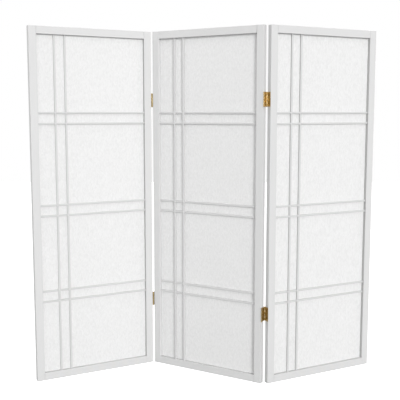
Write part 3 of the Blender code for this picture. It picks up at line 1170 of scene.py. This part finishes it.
    def paper(self) -> Shape:
        """Make the paper sheet, held flat in the groove and cockled a little in the middle.

        Returns:
            The shape.
        """
        rows, columns = self.paper_rows, self.paper_columns
        shape = Shape()
        front, back = (self._paper_face(shape, depth) for depth in (
            self.paper_front, self.paper_front + self.paper_thickness))
        for row in range(rows):
            for column in range(columns):
                for face, step in ((front, 1), (back, -1)):
                    corners = [face[row][column], face[row][column + 1],
                               face[row + 1][column + 1], face[row + 1][column]]
                    shape.mesh.faces.new(corners[::step])
        rim = ([(0, column) for column in range(columns)]
               + [(row, columns) for row in range(rows)]
               + [(rows, column) for column in range(columns, 0, -1)]
               + [(row, 0) for row in range(rows, 0, -1)])
        for (row, column), (next_row, next_column) in zip(rim, rim[1:] + rim[:1]):
            shape.mesh.faces.new((front[next_row][next_column], front[row][column],
                                  back[row][column], back[next_row][next_column]))
        return shape

    def build(self, workshop: Workshop) -> None:
        """Build and dress every piece of the panel.

        Args:
            workshop: what turns the shapes into pieces.
        """
        stock, rounding = self.stock, self.edge_round

        def put(shape: Shape, part: str, finish: Finish, corner: Point, grain: Matrix | None,
                eased: float, shade_side: ShadedSide | None = None) -> None:
            """Place one shape of the panel as a piece of that name."""
            workshop.make(shape, self.name, part, finish, self.place @ Matrix.Translation(corner),
                          self.name, True, grain, eased, shade_side)

        left = self.stile(FoldSide.LEFT in self.hinged)
        right = self.stile(FoldSide.RIGHT in self.hinged).mirror(0)
        put(left, "left_stile", FRAME_PAINT, (0.0, 0.0, 0.0), UPRIGHT_GRAIN, rounding)
        # Painted shade goes on the right stile's inner side, the bottom rail's top and the top
        # rail's underside.
        put(right, "right_stile", FRAME_PAINT, (stock.panel_width, 0.0, 0.0), UPRIGHT_GRAIN,
            rounding, ShadedSide(0, self.stile_width, self.far_side_shade))
        start = self.stile_width + stock.fit_gap
        put(self.rail(), "bottom_rail", FRAME_PAINT, (start, 0.0, 0.0), None, rounding,
            ShadedSide(2, self.rail_height, self.near_side_shade))
        put(self.rail(self.joint_opening).mirror(2), "top_rail", FRAME_PAINT,
            (start, 0.0, stock.panel_height), None, rounding,
            ShadedSide(2, self.rail_height, self.far_side_shade))
        foot = self.rail_height - self.bar_tenon
        for side, centre in zip(("left", "right"), self._pair(self.upright_centre)):
            put(self.upright(), f"{side}_upright", LATTICE_PAINT, (centre, 0.0, foot),
                UPRIGHT_GRAIN, self.bar_round)
        for number, height in enumerate(self.crossbar_heights(), 1):
            put(self.crossbar(), f"crossbar_{number}", LATTICE_PAINT,
                (self.stile_width - self.bar_tenon, 0.0, height), None, self.bar_round)
        put(self.paper(), "paper", PAPER, (0.0, 0.0, 0.0), None, 0.0)


@dataclass(frozen=True)
class Seat:
    """Where one part of a hinge sits: the body it rides on, and its pin's axes at rest."""

    body: str
    place: Matrix


@dataclass
class TwoWayHinge:
    """One two-way hinge: two leaves, the link between them, two pins and four screws.

    A screw's shapes are pairs of a radius and a height. The thread's are shares of the shank's
    radius and of one turn, the neck's are shares of the shank's radius, and the head's are
    shares of the head's radius and depth. The recess is given in the head's radius and depth.
    """

    name: str
    front_leaf: Seat
    back_leaf: Seat
    link: Seat
    near_pin: Face
    stock: Stock = field(default_factory=Stock)
    height: float = 0.0475
    sides: int = 36
    leaf_thickness: float = 0.0008
    leaf_setback: float = 0.001
    link_thickness: float = 0.0008
    edge_round: float = 0.00015
    edge_steps: int = 2
    knuckles: int = 5
    knuckle_gap: float = 0.0004
    curl_slit: float = 0.00012
    slit_start: float = 0.5
    slit_overrun: float = 0.0002
    pin_radius: float = 0.00095
    head_radius: float = 0.0016
    head_thickness: float = 0.0007
    rim_share: float = 0.35
    dome_steps: int = 6
    access_hole_radius: float = 0.0029
    screw_head_radius: float = 0.0023
    screw_turns: tuple[float, float] = (20.0, 65.0)
    thread_turns: int = 9
    thread_shape: tuple[tuple[float, float], ...] = ((0.72, 0.2), (0.98, 0.6))
    tip_share: float = 0.35
    neck_shape: tuple[float, float] = (0.8, 0.5)
    head_shape: tuple[tuple[float, float], ...] = ((0.94, -0.14), (1.0, -0.05), (0.97, 0.0))
    recess_arm: float = 0.62
    recess_slot: float = 0.15
    recess_depth: float = 0.55
    recess_overrun: float = 0.3

    @property
    def barrel_radius(self) -> float:
        """The radius outside a knuckle."""
        return self.stock.half_gap - self.stock.fit_gap

    @property
    def pitch(self) -> float:
        """The distance from one knuckle to the next."""
        return (self.height + self.knuckle_gap) / self.knuckles

    @property
    def head_depth(self) -> float:
        """The depth of a screw's countersunk head."""
        return self.leaf_thickness + self.stock.fit_gap

    @property
    def screw_line(self) -> float:
        """The y of a leaf's screws."""
        return self.stock.thickness / 2 + self.stock.pin_standoff

    def _knuckle(self, index: int) -> tuple[float, float]:
        """Give the lower and upper ends of a knuckle about the hinge's middle."""
        low = index * self.pitch - self.height / 2
        return low, low + self.pitch - self.knuckle_gap

    def _add_barrels(self, plate: Shape, first: int, pins: tuple[float, ...]) -> Shape:
        """Cut a plate clear of its mate's knuckles, and join its own, bored for the pins.

        Args:
            plate: the plate.
            first: the plate's own lowest knuckle, 0 or 1. The mating plate has the other.
            pins: the y of each pin.

        Returns:
            The plate.
        """
        half_gap, radius, gap = self.stock.half_gap, self.barrel_radius, self.stock.fit_gap
        reach = self.height / 2 + CUT_OVERRUN
        cuts, barrels, bores = Shape(), Shape(), Shape()
        for y in pins:
            for index in range(1 - first, self.knuckles, 2):
                low, high = self._knuckle(index)
                cuts.add_box((-half_gap, y - radius - gap, low - self.knuckle_gap),
                             (half_gap, y + radius + gap, high + self.knuckle_gap))
            for index in range(first, self.knuckles, 2):
                low, high = self._knuckle(index)
                barrels.add_rod((0.0, y, low), (0.0, y, high), radius, self.sides)
            bores.add_rod((0.0, y, -reach), (0.0, y, reach), self.pin_radius + gap, self.sides)
        return plate.cut(cuts).join(barrels).cut(bores)

    def _screw_holes(self, y: float, depth: float, radius: float,
                     end_radius: float | None = None) -> Shape:
        """Make what the two screw holes of a plate take away.

        Args:
            y: the holes' y.
            depth: how far they reach from the face of the panel.
            radius: their radius there.
            end_radius: their radius at that depth, if it differs.

        Returns:
            The shape.
        """
        start, holes = -self.stock.half_gap, Shape()
        for z in (-self.stock.screw_offset, self.stock.screw_offset):
            holes.add_rod((start, y, z), (depth + start, y, z), radius, self.sides, end_radius)
        return holes

    def leaf(self) -> Shape:
        """Make a leaf: its pin is on the z axis and its screwed face looks to -x.

        Returns:
            The shape.
        """
        stock, half = self.stock, self.height / 2
        wood = -stock.half_gap + stock.fit_gap
        inner = wood + self.leaf_thickness
        length = stock.thickness + stock.pin_standoff - self.leaf_setback
        plate = Shape().add_box((wood, 0.0, -half), (inner, length, half))
        plate.ease(self.edge_round, self.edge_steps)
        self._add_barrels(plate, 0, (0.0,))
        slits = Shape()
        for index in range(0, self.knuckles, 2):
            low, high = self._knuckle(index)
            slits.add_box((inner, self.pin_radius * self.slit_start, low - self.slit_overrun),
                          (inner + self.curl_slit, self.barrel_radius, high + self.slit_overrun))
        plate.cut(slits)
        small = stock.screw_radius + stock.fit_gap
        flare = (self.screw_head_radius - stock.screw_radius) / self.head_depth
        depth = self.head_depth + self.leaf_thickness
        return plate.cut(self._screw_holes(self.screw_line, depth, small, small + flare * depth))

    def link_plate(self) -> Shape:
        """Make the link: one pin is on the z axis and the other towards -y.

        Returns:
            The shape.
        """
        span, half, side = self.stock.pin_span, self.height / 2, self.link_thickness / 2
        plate = Shape().add_box((-side, -span, -half), (side, 0.0, half))
        self._add_barrels(plate, 1, (0.0, -span))
        return plate.cut(
            self._screw_holes(-span / 2, self.stock.panel_gap, self.access_hole_radius))

    def pin(self) -> Shape:
        """Make a pin with a domed head at each end, standing about z = 0.

        Returns:
            The shape.
        """
        seat = self.height / 2 + self.stock.fit_gap
        rim = seat + self.head_thickness * self.rim_share
        rise = self.head_thickness * (1.0 - self.rim_share)
        angles = [step * pi / (2 * self.dome_steps) for step in range(self.dome_steps)]
        dome = [(self.head_radius * cos(angle), rim + rise * sin(angle)) for angle in angles]
        top = [(self.pin_radius, seat), (self.head_radius, seat), *dome,
               (0.0, seat + self.head_thickness)]
        bottom = [(radius, -height) for radius, height in reversed(top)]
        return Shape().add_turned(bottom + top, self.sides)

    def screw(self) -> Shape:
        """Make a countersunk screw, its head's face at z = 0 and its point towards -z.

        Returns:
            The shape.
        """
        shank, head, depth = self.stock.screw_radius, self.screw_head_radius, self.head_depth
        tip = -depth - self.stock.screw_length
        start = tip + shank
        run = (-depth - shank - start) / self.thread_turns
        neck_radius, neck_height = self.neck_shape
        profile = [(0.0, tip), (shank * self.tip_share, start)]
        profile += [(shank * radius, start + turn * run + height * run)
                    for turn in range(self.thread_turns) for radius, height in self.thread_shape]
        profile += [(shank * neck_radius, -depth - neck_height * shank), (shank, -depth)]
        profile += [(head * radius, height * depth) for radius, height in self.head_shape]
        shape = Shape().add_turned([*profile, (0.0, 0.0)], self.sides)
        arm, slot = head * self.recess_arm, head * self.recess_slot
        bottom, top = -depth * self.recess_depth, depth * self.recess_overrun
        for wide, deep in ((arm, slot), (slot, arm)):
            shape.cut(Shape().add_box((-wide, -deep, bottom), (wide, deep, top)))
        return shape

    def build(self, workshop: Workshop) -> None:
        """Build and dress every piece of the hinge.

        Args:
            workshop: what turns the shapes into pieces.
        """
        stock, link, move = self.stock, self.link, Matrix.Translation
        face = move((-stock.half_gap + self.head_depth, self.screw_line, 0.0))
        rises = (-stock.screw_offset, stock.screw_offset)
        for part, seat in (("front_leaf", self.front_leaf), ("back_leaf", self.back_leaf)):
            workshop.make(self.leaf(), self.name, part, BRASS, seat.place, seat.body)
            for word, rise, turn in zip(("lower", "upper"), rises, self.screw_turns):
                place = (seat.place @ face @ move((0.0, 0.0, rise))
                         @ Matrix.Rotation(pi / 2, 4, "Y") @ Matrix.Rotation(radians(turn), 4, "Z"))
                workshop.make(self.screw(), self.name, f"{part}_{word}_screw", SHADED_SCREW_BRASS, place,
                              seat.body, has_node=False)
        workshop.make(self.link_plate(), self.name, "link", BRASS, link.place, link.body)
        far_pin = Face.BACK if self.near_pin is Face.FRONT else Face.FRONT
        for side, y in ((self.near_pin, 0.0), (far_pin, -stock.pin_span)):
            workshop.make(self.pin(), self.name, f"{side.value}_pin", PIN_BRASS,
                          link.place @ move((0.0, y, 0.0)), link.body)


@dataclass
class Screen:
    """The whole screen, folded in a zigzag as it stands. The panels' turns are in degrees."""

    left_turn: float = 27.702
    middle_turn: float = -30.366
    right_turn: float = 27.419
    stock: Stock = field(default_factory=Stock)

    def build(self, workshop: Workshop) -> None:
        """Build the three panels and the four hinges.

        Args:
            workshop: what turns the shapes into pieces.
        """
        stock = self.stock
        back, span, half_gap = stock.thickness + stock.pin_standoff, stock.pin_span, stock.half_gap
        move = Matrix.Translation
        middle = (Matrix.Rotation(radians(self.middle_turn), 4, "Z")
                  @ move((-stock.panel_width / 2, -stock.thickness / 2, 0.0)))
        left_links = middle @ move((-half_gap, back, 0.0))
        left = (left_links @ move((0.0, -span, 0.0))
                @ Matrix.Rotation(radians(self.left_turn - self.middle_turn), 4, "Z"))
        right_links = middle @ move((stock.panel_width + half_gap, -stock.pin_standoff, 0.0))
        right = (right_links @ move((0.0, span, 0.0))
                 @ Matrix.Rotation(radians(self.right_turn - self.middle_turn), 4, "Z"))
        left_place = left @ move((-stock.panel_width - half_gap, stock.pin_standoff, 0.0))
        right_place = right @ move((half_gap, -back, 0.0))
        Panel("middle_panel", middle, (FoldSide.LEFT, FoldSide.RIGHT)).build(workshop)
        Panel("left_panel", left_place, (FoldSide.RIGHT,)).build(workshop)
        Panel("right_panel", right_place, (FoldSide.LEFT,)).build(workshop)
        turned = Matrix.Rotation(pi, 4, "Z")
        for level, height in stock.hinge_heights().items():
            rise = move((0.0, 0.0, height))
            TwoWayHinge(
                f"{level.value}_left_hinge", Seat("left_panel", left @ rise),
                Seat("middle_panel", left_links @ rise @ turned),
                Seat("left_links", left_links @ rise), Face.BACK).build(workshop)
            TwoWayHinge(
                f"{level.value}_right_hinge", Seat("middle_panel", right_links @ rise),
                Seat("right_panel", right @ rise @ turned),
                Seat("right_links", right_links @ rise @ turned), Face.FRONT).build(workshop)


@dataclass(frozen=True)
class DistantLight:
    """A soft light from far off, such as a large window.

    Its angles are in degrees, and its azimuth runs from the front of the screen to the right.
    """

    name: str
    azimuth: float
    elevation: float
    spread: float
    strength: float
    distance: float = 4.0

    def build(self) -> None:
        """Add the light."""
        lamp = bpy.data.lights.new(self.name, "SUN")
        lamp.angle = radians(self.spread)
        lamp.energy = self.strength
        light = add_object(self.name, lamp)
        level, turn = radians(self.elevation), radians(self.azimuth)
        source = Vector((sin(turn) * cos(level), -cos(turn) * cos(level), sin(level)))
        light.location = self.distance * source
        light.rotation_euler = source.to_track_quat("Z", "Y").to_euler()


@dataclass(frozen=True)
class Glow:
    """Soft light from one whole side of the room. Its azimuth is counted as a light's is."""

    azimuth: float
    strength: float
    falloff: float = 2.0

    def add_to(self, nodes: NodeBuilder, way: bpy.types.NodeSocket) -> bpy.types.NodeSocket:
        """Add the glow to the room.

        Args:
            nodes: the builder of the room's tree.
            way: the direction that is looked along.

        Returns:
            The glow's strength in that direction.
        """
        source = (sin(radians(self.azimuth)), -cos(radians(self.azimuth)), 0.0)
        ahead = nodes.add("ShaderNodeVectorMath", {"operation": "DOT_PRODUCT"},
                          {0: way, 1: source}).outputs["Value"]
        near = nodes.add("ShaderNodeMapRange", None, {"Value": ahead, "From Min": -1.0}).outputs[0]
        return nodes.maths("MULTIPLY", nodes.maths("POWER", near, self.falloff), self.strength)


@dataclass
class Studio:
    """A plain pale floor and backdrop, soft lights and the camera."""

    camera_place: Point = (-0.0240, -2.4878, 0.9152)
    camera_tilt: float = 83.089
    camera_reach: float = 50.0
    focal_length: float = 65.28
    sensor_width: float = 36.0
    floor_size: float = 14.0
    floor_drop: float = 0.0002
    floor_colour: Colour = (0.42, 0.42, 0.42)
    floor_pale: Colour = (0.44, 0.44, 0.44)
    floor_drift: float = 0.8
    floor_roughness: float = 0.85
    floor_specular: float = 0.15
    floor_lift: float = 0.93
    room_light: float = 0.635
    glows: tuple[Glow, ...] = (Glow(azimuth=-90.0, strength=0.52),)
    lights: tuple[DistantLight, ...] = (
        DistantLight("key", azimuth=22.5, elevation=13.0, spread=18.0, strength=1.84),
        DistantLight("back_window", azimuth=170.0, elevation=30.0, spread=50.0, strength=0.8))

    def build(self) -> None:
        """Add the floor, the backdrop, the lights and the camera."""
        self._floor()
        self._backdrop()
        for light in self.lights:
            light.build()
        self._camera()

    def _floor(self) -> None:
        """Add the floor, in pale matt paint with a slight drift of tone."""
        shape = bmesh.new()
        bmesh.ops.create_grid(shape, x_segments=2, y_segments=2, size=self.floor_size / 2)
        mesh = bpy.data.meshes.new("floor")
        shape.to_mesh(mesh)
        shape.free()
        floor = add_object("floor", mesh)
        floor.location = (0.0, 0.0, -self.floor_drop)
        material, nodes, shader = start_material("floor_paint")
        drift = nodes.noise(nodes.add("ShaderNodeTexCoord").outputs["Object"], self.floor_drift)
        nodes.fill(shader, {
            "Base Color": nodes.blend(drift, opaque(self.floor_colour), opaque(self.floor_pale)),
            "Roughness": self.floor_roughness, "Specular IOR Level": self.floor_specular})
        ray = nodes.add("ShaderNodeLightPath").outputs["Is Camera Ray"]
        lift = nodes.add("ShaderNodeEmission", None,
                         {"Strength": nodes.maths("MULTIPLY", ray, self.floor_lift)})
        lifted = nodes.add("ShaderNodeAddShader", None, {0: shader.outputs[0], 1: lift.outputs[0]})
        nodes.fill(nodes.tree.nodes["Material Output"], {"Surface": lifted.outputs[0]})
        mesh.materials.append(material)

    def _backdrop(self) -> None:
        """Make the room: a white backdrop for the camera, and soft light from its sides."""
        world = bpy.data.worlds.new("studio")
        bpy.context.scene.world = world
        world.use_nodes = True
        nodes = NodeBuilder(world.node_tree)
        ray = nodes.add("ShaderNodeLightPath").outputs["Is Camera Ray"]
        way = nodes.add("ShaderNodeTexCoord").outputs["Generated"]
        light = self.room_light
        for glow in self.glows:
            light = nodes.maths("ADD", glow.add_to(nodes, way), light)
        seen = nodes.add("ShaderNodeMapRange", None, {"Value": ray, "To Min": light, "To Max": 1.0})
        nodes.fill(world.node_tree.nodes["Background"],
                   {"Color": (1.0, 1.0, 1.0, 1.0), "Strength": seen.outputs[0]})

    def _camera(self) -> None:
        """Add the camera, at the photograph's place and angle."""
        data = bpy.data.cameras.new("camera")
        data.sensor_width = self.sensor_width
        data.lens = self.focal_length
        data.clip_end = self.camera_reach
        camera = add_object("camera", data)
        camera.location = self.camera_place
        camera.rotation_euler = (radians(self.camera_tilt), 0.0, 0.0)
        bpy.context.scene.camera = camera
        bpy.context.scene.view_settings.view_transform = "Standard"


def main() -> None:
    """Dress the screen and set up the studio."""
    logging.basicConfig(level=logging.INFO, format="%(name)s: %(message)s")
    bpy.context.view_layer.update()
    workshop = Workshop()
    Screen().build(workshop)
    Studio().build()


if __name__ == "__main__":
    main()
